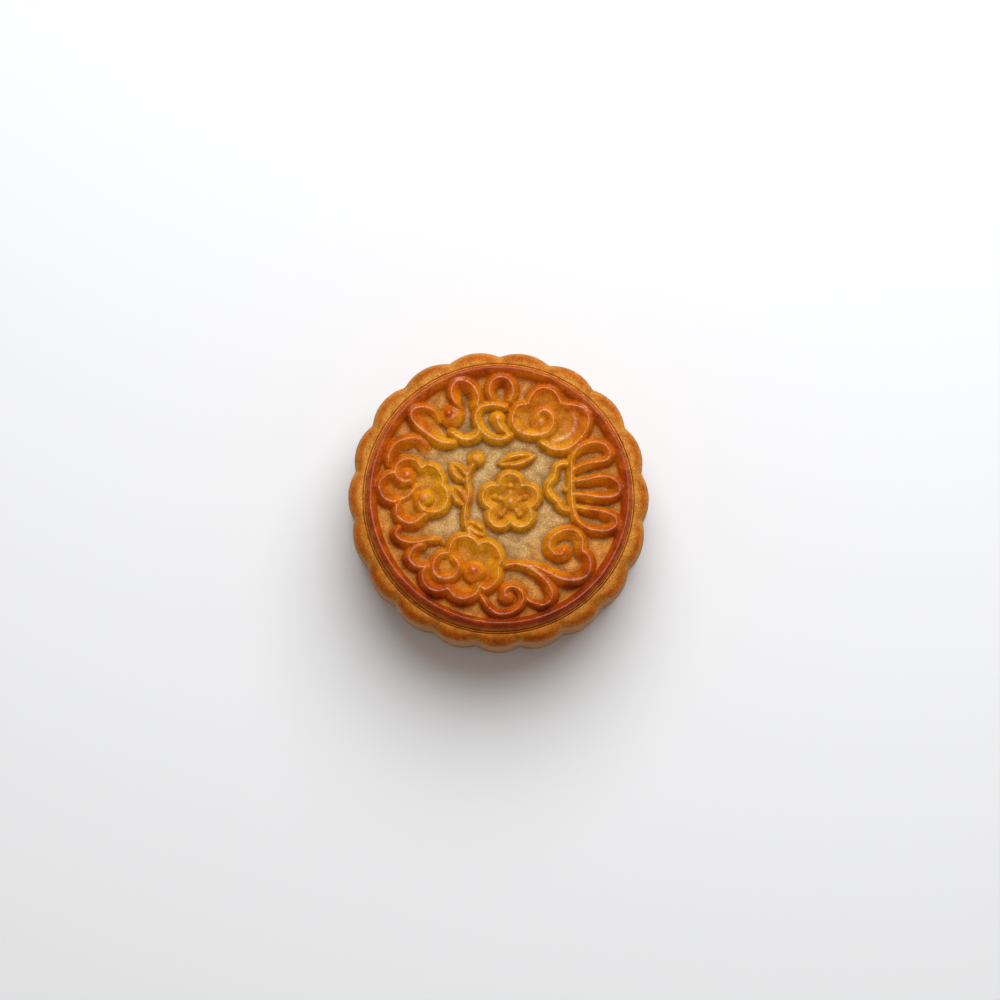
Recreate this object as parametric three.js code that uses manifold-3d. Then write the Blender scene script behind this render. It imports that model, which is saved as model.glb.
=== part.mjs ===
// A baked mooncake: a thick round cake of brown crust whose rim is pressed into scallops. Its flat
// top lies inside a round border ridge and carries the raised ornament of the wooden mould: scrolled
// clouds, two lobed flowers, petals, a fan, curling leaves and a blossom on its twig in the middle.
// Millimetres, +Z up, the origin at the centre of the flat base.
import * as THREE from "three";
import { mergeVertices } from "three/addons/utils/BufferGeometryUtils.js";
import Module from "manifold-3d";

// The cake's outline
const tipRadius = 40.2; // to the middle of a scallop
const scallopRadius = 11; // of each scallop's own arc
const scallopCount = 19;
const scallopStart = 13.8; // degrees, the first notch
const scallopSkew = 3.7; // degrees, the notches crowd together on one side
const ovalness = 0.0075; // a share of the radius, longer along an axis
const ovalAxis = -18; // degrees, where that axis runs
const squareness = 0.006; // a share of the radius, longer in four directions
const squareAxis = 43; // degrees, the first of them
const outlineShift = 0.2; // along Y: the notches are uneven, and this centres the outline's box
// Its heights
const fieldHeight = 30.7; // of the sunken top inside the border
const crestHeight = 2.3; // of the ornament and the border above that field
const floorHeight = 0.8; // of the ground inside a flower or a cloud
const rimRise = 0.05; // of the rim's inner edge above the field
const rimFall = 0.7; // from there out to the round of the rim's edge
const rimRound = 2.7;
const baseRound = 0.9;
const sideBulge = 0.3;
// The round border, as radii
const borderFoot = 32.35;
const borderCrest = 34.4;
const grooveInner = 35.55;
const beadRadius = 35.85;
const grooveOuter = 36.15;
const grooveDepth = 0.2; // below the field
const rimInner = 36.4; // where the scalloped top of the rim begins
// How a slope falls from its crest to its foot: powers of the share of the way and of what is left
const borderInside = [2, 0.55];
const borderOutside = [5, 0.55];
const plainSlope = [1.75, 0.7]; // round
const broadSlope = [1.4, 0.95]; // nearly even
const dishing = 0.6; // how much a broad slope is hollowed where the ground below it is raised
// The stamp of the mould lands a little off the centre
const stampX = -0.2;
const stampY = -0.25;
// The shape of a ridge of the ornament
const plainWidth = 1.8; // from crest to foot, of the broadest side with a plain slope
const broadWidth = 3.2; // of the narrowest side with a broad slope
const fullWidth = 3; // from foot to foot, of the narrowest ridge that reaches its full height
const thinness = 0.6; // power by which a narrower ridge is lower
const creaseFill = 0.25; // where two slopes meet
const floorEdge = 1; // the width over which a floor rises from its outline
// Fineness of the facets
const facetsPerScallop = 8;
const gridCells = 62;
const strokeStep = 0.6;
const plateRadius = 33.3; // the plate that carries the ornament, its edge hidden in the border
const plateThickness = 5;

const radians = THREE.MathUtils.degToRad;
const clamp = THREE.MathUtils.clamp;
const lerp = THREE.MathUtils.lerp;
const smoothstep = THREE.MathUtils.smoothstep;

// ---- Strokes of the ornament -------------------------------------------------------------------

// Points on a round stretch of a stroke, from one angle to another in degrees.
function arc(x, y, radius, from, to) {
  const steps = Math.max(3, Math.ceil(Math.abs(to - from) / 20));
  return Array.from({ length: steps + 1 }, (_, i) => {
    const angle = radians(lerp(from, to, i / steps));
    return [x + radius * Math.cos(angle), y + radius * Math.sin(angle)];
  });
}

// A value read from a list that is spread evenly along a stroke.
function along(list, share) {
  if (!Array.isArray(list)) return list;
  const place = share * (list.length - 1);
  const i = Math.min(Math.floor(place), list.length - 2);
  return lerp(list[i], list[i + 1], place - i);
}

const ridges = [];
const beads = [];
const floors = [];

// A smooth line through the points.
function smoothPath(points, closed) {
  const vectors = points.map(([x, y]) => new THREE.Vector3(x, y, 0));
  const spread = vectors.filter((v, i) => i === 0 || v.distanceTo(vectors[i - 1]) > strokeStep / 2);
  const curve = new THREE.CatmullRomCurve3(spread, closed, "centripetal");
  return curve.getSpacedPoints(Math.ceil(curve.getLength() / strokeStep));
}

// A rounded ridge whose crest runs through the points. left and right are its widths from crest to
// foot on either side of the way it runs and top its height, each one value or a list along it.
function ridge(points, left, right, top = crestHeight) {
  const path = smoothPath(points, false);
  const reach = Math.max(...[left, right].flat()) + strokeStep;
  const box = new THREE.Box3().setFromPoints(path).expandByScalar(reach);
  ridges.push({ path, left, right, top, box });
}

function bead(x, y, radius, top = crestHeight) {
  beads.push({ x, y, radius, top });
}

// Raised ground inside a closed outline.
function floorInside(outline, height = floorHeight) {
  const path = smoothPath(outline, true);
  floors.push({ path, height, box: new THREE.Box3().setFromPoints(path) });
}

// Upper left: a petal loop, a bead, a hairpin petal beside it and the curl under both.
function upperPetals() {
  const loop = [
    [-11.8, 14.9], [-13.5, 14.9], [-15.5, 15.3], [-18, 16.8], [-20.5, 18.6], [-22.5, 20.7],
    [-23.2, 22.6], [-22.2, 24.1], [-20.3, 24.6], [-18.4, 24.3], [-17, 23.6], [-16.1, 22.2],
    [-15.6, 20.5],
  ];
  ridge(
    loop,
    [1.2, 2, 2.3, 2, 1.8, 1.6, 1.5, 1.4, 1.3, 1.2, 1, 0.8],
    [1.2, 1.6, 2.1, 2.3, 2.4, 2.6, 3, 3, 2.8, 2.4, 2, 1.5, 0.9],
  );
  floorInside(loop, 0.9);
  bead(-12.3, 22.1, 3.4);
  bead(-13.1, 22.9, 1.5, crestHeight + 0.4);
  ridge(
    [
      [-10.4, 24.2], [-11.5, 25.8], [-12.4, 28], [-12.2, 30], [-11, 31.5], [-9.5, 31.8],
      [-7.5, 31], [-5.8, 29], [-5.1, 26.5], [-5.5, 25],
    ],
    [0.8, 1.3, 1.6, 1.6, 1.5, 1.5, 1.6, 1.6, 1.4],
    [1.3, 2.3, 3, 3, 3.2, 3.3, 3.1, 2.9, 2.8, 2.5],
  );
  ridge(
    [[-12.3, 17.8], [-11.3, 17], [-9.5, 16], [-7.5, 15.9], [-5.7, 16.8], [-4.8, 18.5]],
    [1.6, 1.9, 1.9],
    [1.6, 1.9, 1.8],
  );
}

// Top: an upright hairpin petal over an open knot with a comma in it.
function topKnot() {
  ridge(
    [[-1.5, 26.5], [-2.3, 29], [-1.5, 31.5], [0.5, 32.7], [2.8, 32], [4, 30], [4, 28], [3.3, 26.3]],
    [1.4, 1.7, 1.6, 1.5, 1.6, 1.8, 1.8, 1.6],
    [1.5, 2, 2.7, 3.2, 3, 2.5, 2.3, 1.7],
  );
  ridge(
    [
      [1.9, 24.5], [0.4, 25], [-2, 25.1], [-4, 24.7], [-5.4, 23.6], [-6, 21.9], [-5.6, 20],
      [-4.6, 18.4], [-3.3, 17.2], [-1.8, 16.3], [0, 15.8], [1.8, 16], [3.2, 16.9],
    ],
    [1.3, 1.6, 1.7, 2.1, 2.2, 2, 1.7, 1.6, 1.4],
    [1.2, 1.2, 1.3, 1.3, 1.3, 1.5, 1.8, 1.8, 1.4],
  );
  bead(0, 21.8, 2.1, 2.1);
  ridge(
    [[-0.1, 21.6], [0.1, 20.3], [0.8, 19.1], [1.6, 18.2], [2.4, 17.6]],
    [2, 1.3],
    [1.9, 1.2],
    2.1,
  );
}

// Upper right: a cloud of three lobes round a scroll.
function cloud() {
  const lip = [[8, 25.3], [5.5, 24.9], [4.2, 23], [3.9, 21], [4.8, 18.7], [7, 17.3], [10, 16.9]];
  ridge(
    [
      ...lip, [13, 17.8], [14.5, 19.5], [14.6, 21.5], [13.8, 23], [12.4, 23.7], [10.9, 23],
      [10.2, 21.5],
    ],
    [2.2, 2.6, 2.6, 2.4, 2, 2, 2.3, 2.6, 2.4, 2, 1.5],
    [1.5, 1.6, 1.6, 1.8, 1.8, 1.7, 1.6, 1.5, 1.3],
  );
  const topLobe = [
    [8, 25.5], [9, 27.5], [10.5, 29.2], [12.8, 29.7], [15, 28.7], [16.2, 27], [17, 25.3],
  ];
  ridge(topLobe, 1.5, 2.7);
  const rightLobe = [
    [17, 25.3], [19, 25.2], [20.8, 24.9], [23, 24], [24.2, 22], [24, 19.5], [22.5, 16.8],
    [20.5, 14.6], [18, 13.2], [15.5, 13], [13, 14], [11.5, 15],
  ];
  ridge(
    rightLobe,
    [1.3, 1.5, 1.6, 1.6, 1.7, 1.9, 1.9, 1.8, 1.3],
    [1.2, 2.4, 3.2, 3.4, 3.3, 2.8, 2.3, 2, 1.8, 1.3],
  );
  floorInside([...lip, ...rightLobe.toReversed(), ...topLobe.toReversed()], 1.15);
  ridge(
    [[19.5, 24.5], [20.5, 22], [20.6, 20], [19.5, 17.5], [17.5, 16], [15, 15.3]],
    1.1,
    1.1,
    1.75,
  );
  bead(10.3, 21, 2.2, 2.1);
}

// Right: a fan of three loops on a spine, with a wavy frill on its inner side.
function fan() {
  ridge(
    [[20.3, 12], [19.8, 10.5], [19.7, 7], [19.7, 3.5], [19.8, 0], [20.3, -3.5], [21, -5.5]],
    1.2,
    1.7,
  );
  bead(17.8, 2.4, 1.2, 1.6);
  ridge(
    [
      [20.3, 12], [21.5, 13.5], [24, 14.8], [27, 15], [29, 14], [29.9, 12.3], [29.5, 10.7],
      [28, 10], [25, 9.7], [22.5, 9], [20.2, 7.9],
    ],
    [1.5, 1.4, 1.4, 1.5, 1.6, 1.8, 2, 2.1, 1.9],
    [1.6, 2.4, 2.9, 2.7, 2.4, 2, 1.5, 1.2, 1.1, 0.9],
  );
  ridge(
    [
      [20.2, 4.6], [24, 5.2], [27, 5.9], [29.5, 5.8], [31.5, 4.8], [32.6, 3], [32, 1.2],
      [30, 0.4], [27, 0.4], [24, 0.9], [20.5, 1.3],
    ],
    [1.2, 1.3, 1.3, 1.3, 1.3, 1.5, 1.9, 2.2, 2.3, 2],
    [1.6, 2.2, 2.6, 2.8, 3, 3.2, 2.2, 1.6, 1.4, 1],
  );
  ridge(
    [
      [20.7, -2.2], [24, -2.8], [27, -3.2], [29.5, -3.9], [31.3, -5], [31.6, -6.8], [30, -8.3],
      [27, -8.6], [24, -7.9], [21.8, -6.3], [20.8, -4.8],
    ],
    [1.1, 1.1, 1.2, 1.4, 1.6, 1.9, 2.1, 2, 1.7],
    [1.4, 2, 2.3, 2.6, 2.8, 2.4, 1.8, 1.5, 1.3, 1],
  );
  ridge(
    [
      [18.3, 9.3], [16.8, 9.2], [15.6, 8.3], [15.2, 6.5], [14.8, 5.3], [13.8, 4.2], [13.2, 2.8],
      [13.8, 1.2], [15, 0], [16, -1], [16.6, -2.2], [17.6, -3], [18.6, -3.2],
    ],
    [1.3, 1.4, 1.6, 1.5, 1.4],
    [1.3, 1.4, 1.6, 1.6, 1.4],
    2,
  );
}

// Left: a flower with a scroll in two of its lobes, and an arched leaf over it.
function leftFlower() {
  const arch = [
    [-29.3, 9], [-29, 11.7], [-28.2, 13.5], [-26.9, 15], [-25, 15.8], [-23, 16.2], [-21.4, 16],
    [-20, 15], [-18.6, 13.5], [-17.6, 12],
  ];
  ridge(
    arch,
    [1.1, 1.6, 1.6, 1.5, 1.5, 1.6, 1.8, 2, 2.2, 2],
    [1.2, 2.4, 3, 3, 3, 2.8, 2.4, 2.2, 2, 1.8],
    [crestHeight, crestHeight, crestHeight, crestHeight, crestHeight, 2.2, 1.9, 1.5, 0.8],
  );
  const firstScroll = [
    [-23, 5.6], [-23.6, 4.8], [-24.7, 4.5], [-25.8, 4.9], [-26.9, 5.8], [-27.3, 7.2],
    [-26.9, 8.9], [-25.5, 10.2], [-23.7, 10.7], [-22, 10.3], [-20.9, 9.3], [-20.2, 8.2],
  ];
  ridge(
    firstScroll,
    [1.3, 2, 2.3, 2.1, 1.7, 1.6, 1.5, 1.4, 1.3, 1.2, 1.3],
    [1.2, 1.2, 1.2, 1.3, 1.8, 2.2, 2.6, 2.7, 2.6, 2.3, 1.8],
  );
  bead(-24.2, 6.3, 2.1, crestHeight + 0.2);
  const leftLobe = [
    [-27.8, 7], [-29.3, 6.5], [-30.8, 5.3], [-31.7, 3.7], [-31.3, 1.9], [-30.5, 0.4], [-29, -0.6],
    [-27.4, -0.9],
  ];
  ridge(leftLobe, [1.6, 2.4, 2.6, 2.6, 2.2], [1.5, 1.6, 1.6, 2, 2.3, 1.9]);
  const lowLobe = [
    [-26.9, -1.9], [-27.1, -3.4], [-26.5, -4.9], [-25.2, -6], [-23.4, -6.6], [-21.5, -6],
    [-20.4, -5.1], [-19.6, -4.4],
  ];
  ridge(lowLobe, [1.4, 2.2, 2.5, 2.4, 2, 1.4], [1.4, 1.6, 2, 2.3, 2.2, 1.7]);
  ridge([[-27.2, -0.9], [-25.5, -0.1], [-24, 0.7], [-22.7, 2], [-21.6, 3.3]], 1, 1, 1.9);
  const highLobe = [
    [-20.2, 8.2], [-19, 8.9], [-17.5, 8.8], [-16, 7.9], [-15, 6.4], [-14.6, 4.9], [-14.8, 3.6],
  ];
  ridge(highLobe, [1.3, 1.3, 1.4], 2.4);
  const secondScroll = [
    [-14.8, 3.6], [-13.9, 2.6], [-13.3, 0.6], [-13.7, -1.4], [-15, -3], [-17, -3.6], [-19, -3.3],
    [-20.4, -2.1], [-21, -0.6], [-20.6, 0.5],
  ];
  ridge(
    secondScroll,
    [1.3, 1.3, 1.4, 1.7, 1.9, 1.9, 1.8, 1.8],
    [2.4, 2.6, 2.4, 2.1, 1.8, 1.6, 1.4, 1.2],
  );
  bead(-19.2, 0.2, 2.2, crestHeight + 0.2);
  floorInside([
    ...leftLobe, ...lowLobe, ...secondScroll.slice(0, 7).reverse(), ...highLobe.toReversed(),
    ...firstScroll.slice(5).reverse(),
  ]);
}

// Lower left: two hooked leaves and a flower of five lobes with a ring and a bead in it.
function lowerFlower() {
  ridge(
    [
      [-26.3, -7.7], [-27.2, -9.1], [-26.7, -10.3], [-25.3, -11.2], [-22.9, -11.7], [-21, -11.6],
      [-19, -11.1], [-17, -10.8], [-15.3, -11], [-14.6, -11.5],
    ],
    [1.2, 1.5, 1.5, 1.5, 1.3, 1.1, 0.9],
    [1.3, 1.9, 2.1, 2.2, 2, 1.9, 1.9, 1.8, 1.2],
    [crestHeight, crestHeight, crestHeight, crestHeight, 2.2, 2, 1.8, 1.6, 1.3],
  );
  ridge(
    [
      [-20.3, -12.3], [-21.5, -12.7], [-22.5, -13.3], [-23.4, -14.8], [-23.7, -16],
      [-22.9, -17.2], [-21.7, -18.1], [-20, -18.3], [-19, -17.7],
    ],
    [1.8, 2.6, 3, 3.2, 3.1, 2.6, 1.9, 1.3],
    [0.7, 1.2, 1.7, 1.9, 2, 1.9, 1.6, 1.2],
  );
  const lobes = [
    [-13, -14.2], [-12.5, -12.4], [-11.4, -10.8], [-9.4, -10.1], [-7.3, -10.3], [-5.8, -11.5],
    [-5.2, -12.5], [-4.3, -11.9], [-2.4, -11.7], [-0.6, -12.9], [0.5, -14.7], [0.8, -16.5],
    [0.1, -18], [0.2, -19.5], [-0.2, -21.6], [-1.6, -23.3], [-3.3, -24.1], [-5, -23.5],
    [-5.5, -24.8], [-7, -26], [-9.4, -26.7], [-11.4, -26], [-12.7, -24.7], [-13.2, -24],
    [-14.5, -24.4], [-16.4, -24.6], [-18.5, -23.7], [-19.7, -22], [-19.9, -20], [-19.1, -18.4],
  ];
  ridge(lobes, [1.4, 1.5, 1.5, 1.6, 1.6, 1.7, 1.8, 2.1, 2.4, 2.4, 2.4, 2, 1.7], 2.4);
  const ring = [
    [-13.4, -14.5], [-15, -14.7], [-16.4, -15.8], [-17.2, -17.6], [-17.1, -19.4], [-16, -20.8],
    [-14.3, -21.4], [-12.5, -21.1], [-11, -19.9], [-10.4, -18.2], [-10.8, -16.7], [-11.6, -15.9],
  ];
  ridge(ring, 1.6, [1.4, 1.5, 1.6, 1.8, 1.9, 1.8, 1.5, 1.3]);
  floorInside([...lobes, ...ring.slice(1, 4).reverse()]);
  floorInside(arc(-13.8, -18, 2.9, 0, 345), 1.1);
  bead(-6.3, -19.7, 3, 2.5);
  bead(-6.5, -19.1, 1.5, crestHeight + 0.6);
}

// Bottom and lower right: a scroll, a looped stem and a long swoosh that ends in a scroll.
function lowerScrolls() {
  ridge(
    [
      [-4.4, -26], [-3.5, -27.5], [-2.3, -29.2], [0, -30.7], [3, -30.6], [5.6, -29], [6.8, -26.9],
      [6.4, -24.9], [5.1, -23.8], [3.4, -23.5], [2, -24.4], [1.8, -25.6],
    ],
    [1.2, 1.7, 1.8, 1.7, 1.7, 1.8, 1.9, 1.9, 1.7, 1.6, 1.4],
    [1.2, 1.7, 1.8, 1.6, 1.5, 1.4, 1.4, 1.5, 1.7, 2],
  );
  bead(2.2, -26.2, 2.4, 2.2);
  bead(2.3, -26, 1, crestHeight);
  ridge(
    [
      [2, -17.8], [5, -17.4], [7.5, -18], [10, -19.5], [12.3, -21.4], [14, -23.7], [14.5, -25.7],
      [13.8, -27.4], [12, -28.4], [10, -27.9], [8.3, -27.2], [7.5, -26.3],
    ],
    [1.4, 1.3, 1.3, 1.4, 1.5, 1.7, 1.8, 2.1, 2.1, 1.8, 1.4, 1],
    [1.4, 1.6, 1.9, 2, 2.1, 2.4, 2.5, 2.1, 1.6, 1.2, 1],
  );
  ridge(
    [
      [5, -17.3], [7.4, -17.6], [9.3, -17.9], [11, -18.6], [13.6, -19.8], [16.3, -21.2],
      [18.6, -21.8], [21.3, -21.7], [23.3, -20.9], [24.3, -19.7], [24.7, -18], [24.6, -16.5],
      [23.8, -15], [22.5, -13.7], [22.7, -12], [22.4, -10.4], [21.4, -9], [20, -8.3],
      [17.6, -8.5], [15.5, -9.5], [14.3, -10.8], [13.8, -12.3], [14.3, -13.8], [16, -14.9],
    ],
    [1.3, 1.4, 1.6, 1.8, 2.2, 2.4, 2.8, 3.3, 3.3, 2.9, 2.7, 3.2, 3.4, 3.4, 2.8, 2.2, 1.6, 1.2],
    [0.8, 1, 1.2, 1.8, 2.3, 2.4, 2.2, 2, 1.8, 1.6, 1.7, 1.7, 1.4, 1.3, 1.5, 1.8, 2, 2.4, 2.6],
  );
  bead(17.3, -14.4, 2.6, 2.2);
  bead(17.5, -14, 1, crestHeight + 0.1);
}

// A pointed leaf from its stalk to its tip: two curved sides with a crease between them.
function leaf(x0, y0, x1, y1, width) {
  const length = Math.hypot(x1 - x0, y1 - y0);
  const bow = 0.5 * width;
  const thickness = [0.6, 0.62 * width, 0.62 * width, 0.5];
  for (const side of [1, -1]) {
    const points = [0.02, 0.2, 0.4, 0.6, 0.8, 1].map((t) => {
      const out = (side * bow * Math.sin(Math.PI * t)) / length;
      return [lerp(x0, x1, t) - (y1 - y0) * out, lerp(y0, y1, t) + (x1 - x0) * out];
    });
    ridge(points, thickness, thickness, 2.2);
  }
}

// Middle: a blossom of five lobes with stamens round a bead, beside a twig with leaves and a bud.
function blossom() {
  const centre = [3.3, -0.9];
  const petals = 5;
  const petalReach = 4.6;
  const petalRadius = 3;
  const halfTurn = 98; // the arc of a petal on either side of its tip
  const outline = [];
  for (let k = 0; k < petals; k++) {
    const angle = 90 - (360 / petals) * k;
    const out = (reach) => [
      centre[0] + reach * Math.cos(radians(angle)),
      centre[1] + reach * Math.sin(radians(angle)),
    ];
    outline.push(...arc(...out(petalReach), petalRadius, angle + halfTurn, angle - halfTurn));
    ridge([1.8, 3, 4.2].map(out), 0.7, 0.7);
    bead(...out(4.2), 0.9, 2);
  }
  ridge([...outline, ...outline.slice(0, 3)], 1.5, 2.3);
  floorInside(outline, 0.9);
  bead(...centre, 2.1);
  ridge([[-7.2, -10], [-8.7, -6.5], [-8.6, -2.5], [-7.7, 1.5], [-8.2, 5.5], [-6.6, 9]], 1.3, 1.3, 2.2);
  bead(-5.8, 10.6, 2.5);
  leaf(-8.4, -2.2, -12.4, 3.6, 2.3);
  leaf(-8, 4.2, -12.6, 9.6, 2.3);
  leaf(-8.4, -6.2, -3.2, -9.8, 2);
  leaf(0, 9.2, 10, 11.4, 2.3);
}

// ---- Height of the ornament --------------------------------------------------------------------

// The larger of two heights, with the crease between them slightly filled.
function blend(a, b) {
  const overlap = Math.max(creaseFill - Math.abs(a - b), 0);
  const both = clamp(Math.min(a, b) / creaseFill, 0, 1);
  return Math.max(a, b) + (both * overlap ** 2) / (4 * creaseFill);
}

// The place on a ridge's crest that is nearest to a point.
function nearestOnCrest({ path, box }, x, y) {
  const near = { distance: Infinity };
  if (x < box.min.x || x > box.max.x || y < box.min.y || y > box.max.y) return near;
  for (let i = 0; i + 1 < path.length; i++) {
    const dx = path[i + 1].x - path[i].x;
    const dy = path[i + 1].y - path[i].y;
    const t = clamp(((x - path[i].x) * dx + (y - path[i].y) * dy) / (dx * dx + dy * dy), 0, 1);
    const ox = path[i].x + t * dx - x;
    const oy = path[i].y + t * dy - y;
    const distance = Math.hypot(ox, oy);
    if (distance >= near.distance) continue;
    const share = (i + t) / (path.length - 1);
    Object.assign(near, { distance, ox, oy, share, onLeft: dx * oy < dy * ox });
  }
  return near;
}

// The width of a ridge, from crest to foot, on the side of a point near it.
function widthBeside(stroke, near) {
  return along(near.onLeft ? stroke.left : stroke.right, near.share);
}

// The share of its height that a slope still has at a share of the way down.
function slopeHeight(share, [bend, steepness]) {
  return (1 - share ** bend) ** steepness;
}

// Height of one ridge above the ground at a point.
function ridgeHeight(stroke, x, y, ground) {
  const near = nearestOnCrest(stroke, x, y);
  if (near.distance === Infinity) return 0;
  const width = widthBeside(stroke, near);
  if (near.distance >= width) return 0;
  const wholeWidth = along(stroke.left, near.share) + along(stroke.right, near.share);
  const crest = along(stroke.top, near.share) * Math.min(1, wholeWidth / fullWidth) ** thinness;
  const breadth = clamp((width - plainWidth) / (broadWidth - plainWidth), 0, 1);
  const [bend, steepness] = plainSlope.map((power, i) => lerp(power, broadSlope[i], breadth));
  const powers = [bend, steepness + breadth * dishing * ground];
  return Math.max(0, crest - ground) * slopeHeight(near.distance / width, powers);
}

function isInside(path, x, y) {
  let inside = false;
  for (let i = 0; i + 1 < path.length; i++) {
    const [a, b] = [path[i], path[i + 1]];
    if (a.y > y === b.y > y) continue;
    if (x < a.x + ((y - a.y) / (b.y - a.y)) * (b.x - a.x)) inside = !inside;
  }
  return inside;
}

function groundHeight(x, y) {
  let ground = 0;
  for (const floor of floors) {
    if (!isInside(floor.path, x, y)) continue;
    const { distance } = nearestOnCrest(floor, x, y);
    ground = Math.max(ground, floor.height * smoothstep(distance, 0, floorEdge));
  }
  return ground;
}

function ornamentHeight(px, py) {
  const x = px - stampX;
  const y = py - stampY;
  const ground = groundHeight(x, y);
  let above = 0;
  for (const b of beads) {
    const share = Math.hypot(x - b.x, y - b.y) / b.radius;
    if (share < 1) above = blend(above, (b.top - ground) * Math.sqrt(1 - share ** 2));
  }
  for (const r of ridges) above = blend(above, ridgeHeight(r, x, y, ground));
  return ground + above;
}

// ---- The cake's body ---------------------------------------------------------------------------

// Angle in radians of a place counted in scallops from the first notch.
function scallopAngle(place) {
  const even = radians(scallopStart + (360 / scallopCount) * place);
  let angle = even;
  for (let i = 0; i < 8; i++) angle = even - radians(scallopSkew) * Math.cos(angle);
  return angle;
}

// Angle from the middle of the scallop that a place is in.
function fromScallopMiddle(place) {
  return radians(((place % 1) - 0.5) * (360 / scallopCount));
}

// The cake is a little oval and a little square: its size in the direction of that place.
function stretch(place) {
  const angle = scallopAngle(place);
  const oval = ovalness * Math.cos(2 * (angle - radians(ovalAxis)));
  return 1 + oval + squareness * Math.cos(4 * (angle - radians(squareAxis)));
}

// Radius of the scalloped edge at that place: the arcs meet in sharp notches.
function scallopedRadius(place) {
  const turn = fromScallopMiddle(place);
  const centre = tipRadius - scallopRadius;
  const arcRadius =
    centre * Math.cos(turn) + Math.sqrt(scallopRadius ** 2 - (centre * Math.sin(turn)) ** 2);
  return arcRadius * stretch(place);
}

// Height of the rim's top: each scallop is a pad that rounds off towards its own arc.
function rimHeight(radius, place) {
  const centre = tipRadius - scallopRadius;
  const r = radius / stretch(place);
  const toCentre = Math.sqrt(r * r + centre ** 2 - 2 * r * centre * Math.cos(fromScallopMiddle(place)));
  const away = 1 - clamp((scallopRadius - toCentre) / rimRound, 0, 1);
  const out = clamp((radius - rimInner) / (tipRadius - rimInner), 0, 1);
  const roundOff = rimRound * (1 - Math.sqrt(1 - away ** 2)) * smoothstep(3 * out, 0, 1);
  return fieldHeight + rimRise - rimFall * out ** 1.5 - roundOff;
}

// The body's section from the middle of the base, up the side and over the border to the middle of
// the floor under the ornament. A row is a radius, or a rule that takes it from the cake's edge at
// that place, and a height, or a rule that takes it from the radius and the place.
function sectionRows() {
  const inwards = (amount) => (edge) => edge - amount;
  const ontoRim = (share) => (edge) => lerp(rimInner, edge, share);
  const rows = [[0, 0], [inwards(baseRound), 0], [inwards(0.3 * baseRound), 0.3 * baseRound]];
  rows.push([inwards(0), baseRound]);
  const sideTop = fieldHeight + rimRise - rimFall - rimRound;
  rows.push([inwards(-sideBulge), 0.5 * (baseRound + sideTop)]);
  for (const turn of [90, 72, 54, 36, 18, 0]) {
    rows.push([ontoRim(Math.sin(radians(turn))), rimHeight]);
  }
  rows.push([grooveOuter, fieldHeight - grooveDepth]);
  rows.push([beadRadius, fieldHeight + rimRise]);
  rows.push([grooveInner, fieldHeight - grooveDepth]);
  for (const down of [0.95, 0.75, 0]) {
    const height = (crestHeight + grooveDepth) * slopeHeight(down, borderOutside) - grooveDepth;
    rows.push([lerp(borderCrest, grooveInner, down), fieldHeight + height]);
  }
  for (const down of [0.45, 0.8]) {
    const height = crestHeight * slopeHeight(down, borderInside);
    rows.push([lerp(borderCrest, borderFoot, down), fieldHeight + height]);
  }
  rows.push([borderFoot, fieldHeight]);
  rows.push([borderFoot - 1, fieldHeight - plateThickness / 2]);
  rows.push([0, fieldHeight - plateThickness / 2]);
  return rows;
}

function bodyGeometry() {
  const rows = sectionRows();
  const segments = scallopCount * facetsPerScallop;
  const profile = rows.map((_, j) => new THREE.Vector2(tipRadius, j));
  const geometry = new THREE.LatheGeometry(profile, segments);
  const position = geometry.getAttribute("position");
  for (let i = 0; i <= segments; i++) {
    const place = (i % segments) / facetsPerScallop;
    const angle = scallopAngle(place);
    const edge = scallopedRadius(place);
    rows.forEach(([radius, height], j) => {
      const r = typeof radius === "function" ? radius(edge) : radius;
      const z = typeof height === "function" ? height(r, place) : height;
      position.setXYZ(i * rows.length + j, r * Math.cos(angle), r * Math.sin(angle), z);
    });
  }
  return geometry;
}

// ---- The plate that carries the ornament -------------------------------------------------------

// Where a corner of the grid settles: on the crest of a ridge that passes within reach, or else on
// the line of its foot, so that the facets follow the ridges.
function settle(x, y, reach) {
  const crest = { gap: reach, x, y };
  const foot = { gap: reach, x, y };
  for (const stroke of ridges) {
    const near = nearestOnCrest(stroke, x - stampX, y - stampY);
    if (near.distance === Infinity) continue;
    if (near.distance < crest.gap) {
      Object.assign(crest, { gap: near.distance, x: x + near.ox, y: y + near.oy });
    }
    const beyondFoot = near.distance - widthBeside(stroke, near);
    if (Math.abs(beyondFoot) >= foot.gap) continue;
    const slide = beyondFoot / near.distance;
    Object.assign(foot, { gap: Math.abs(beyondFoot), x: x + slide * near.ox, y: y + slide * near.oy });
  }
  return crest.gap < reach ? crest : foot;
}

function plateGeometry() {
  const side = 2 * plateRadius + 2;
  const reach = (0.48 * side) / gridCells; // just under half a cell, so that no facet turns over
  const geometry = new THREE.BoxGeometry(side, side, plateThickness, gridCells, gridCells, 1);
  geometry.translate(0, 0, fieldHeight - plateThickness / 2);
  const position = geometry.getAttribute("position");
  for (let i = 0; i < position.count; i++) {
    const onTop = position.getZ(i) > fieldHeight - plateThickness / 2;
    const fromMiddle = Math.hypot(position.getX(i), position.getY(i));
    if (!onTop || fromMiddle > plateRadius + 0.7) continue;
    const { x, y } = settle(position.getX(i), position.getY(i), reach);
    position.setXYZ(i, x, y, fieldHeight + ornamentHeight(x, y));
  }
  foldAlongRidges(geometry);
  return geometry;
}

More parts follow.
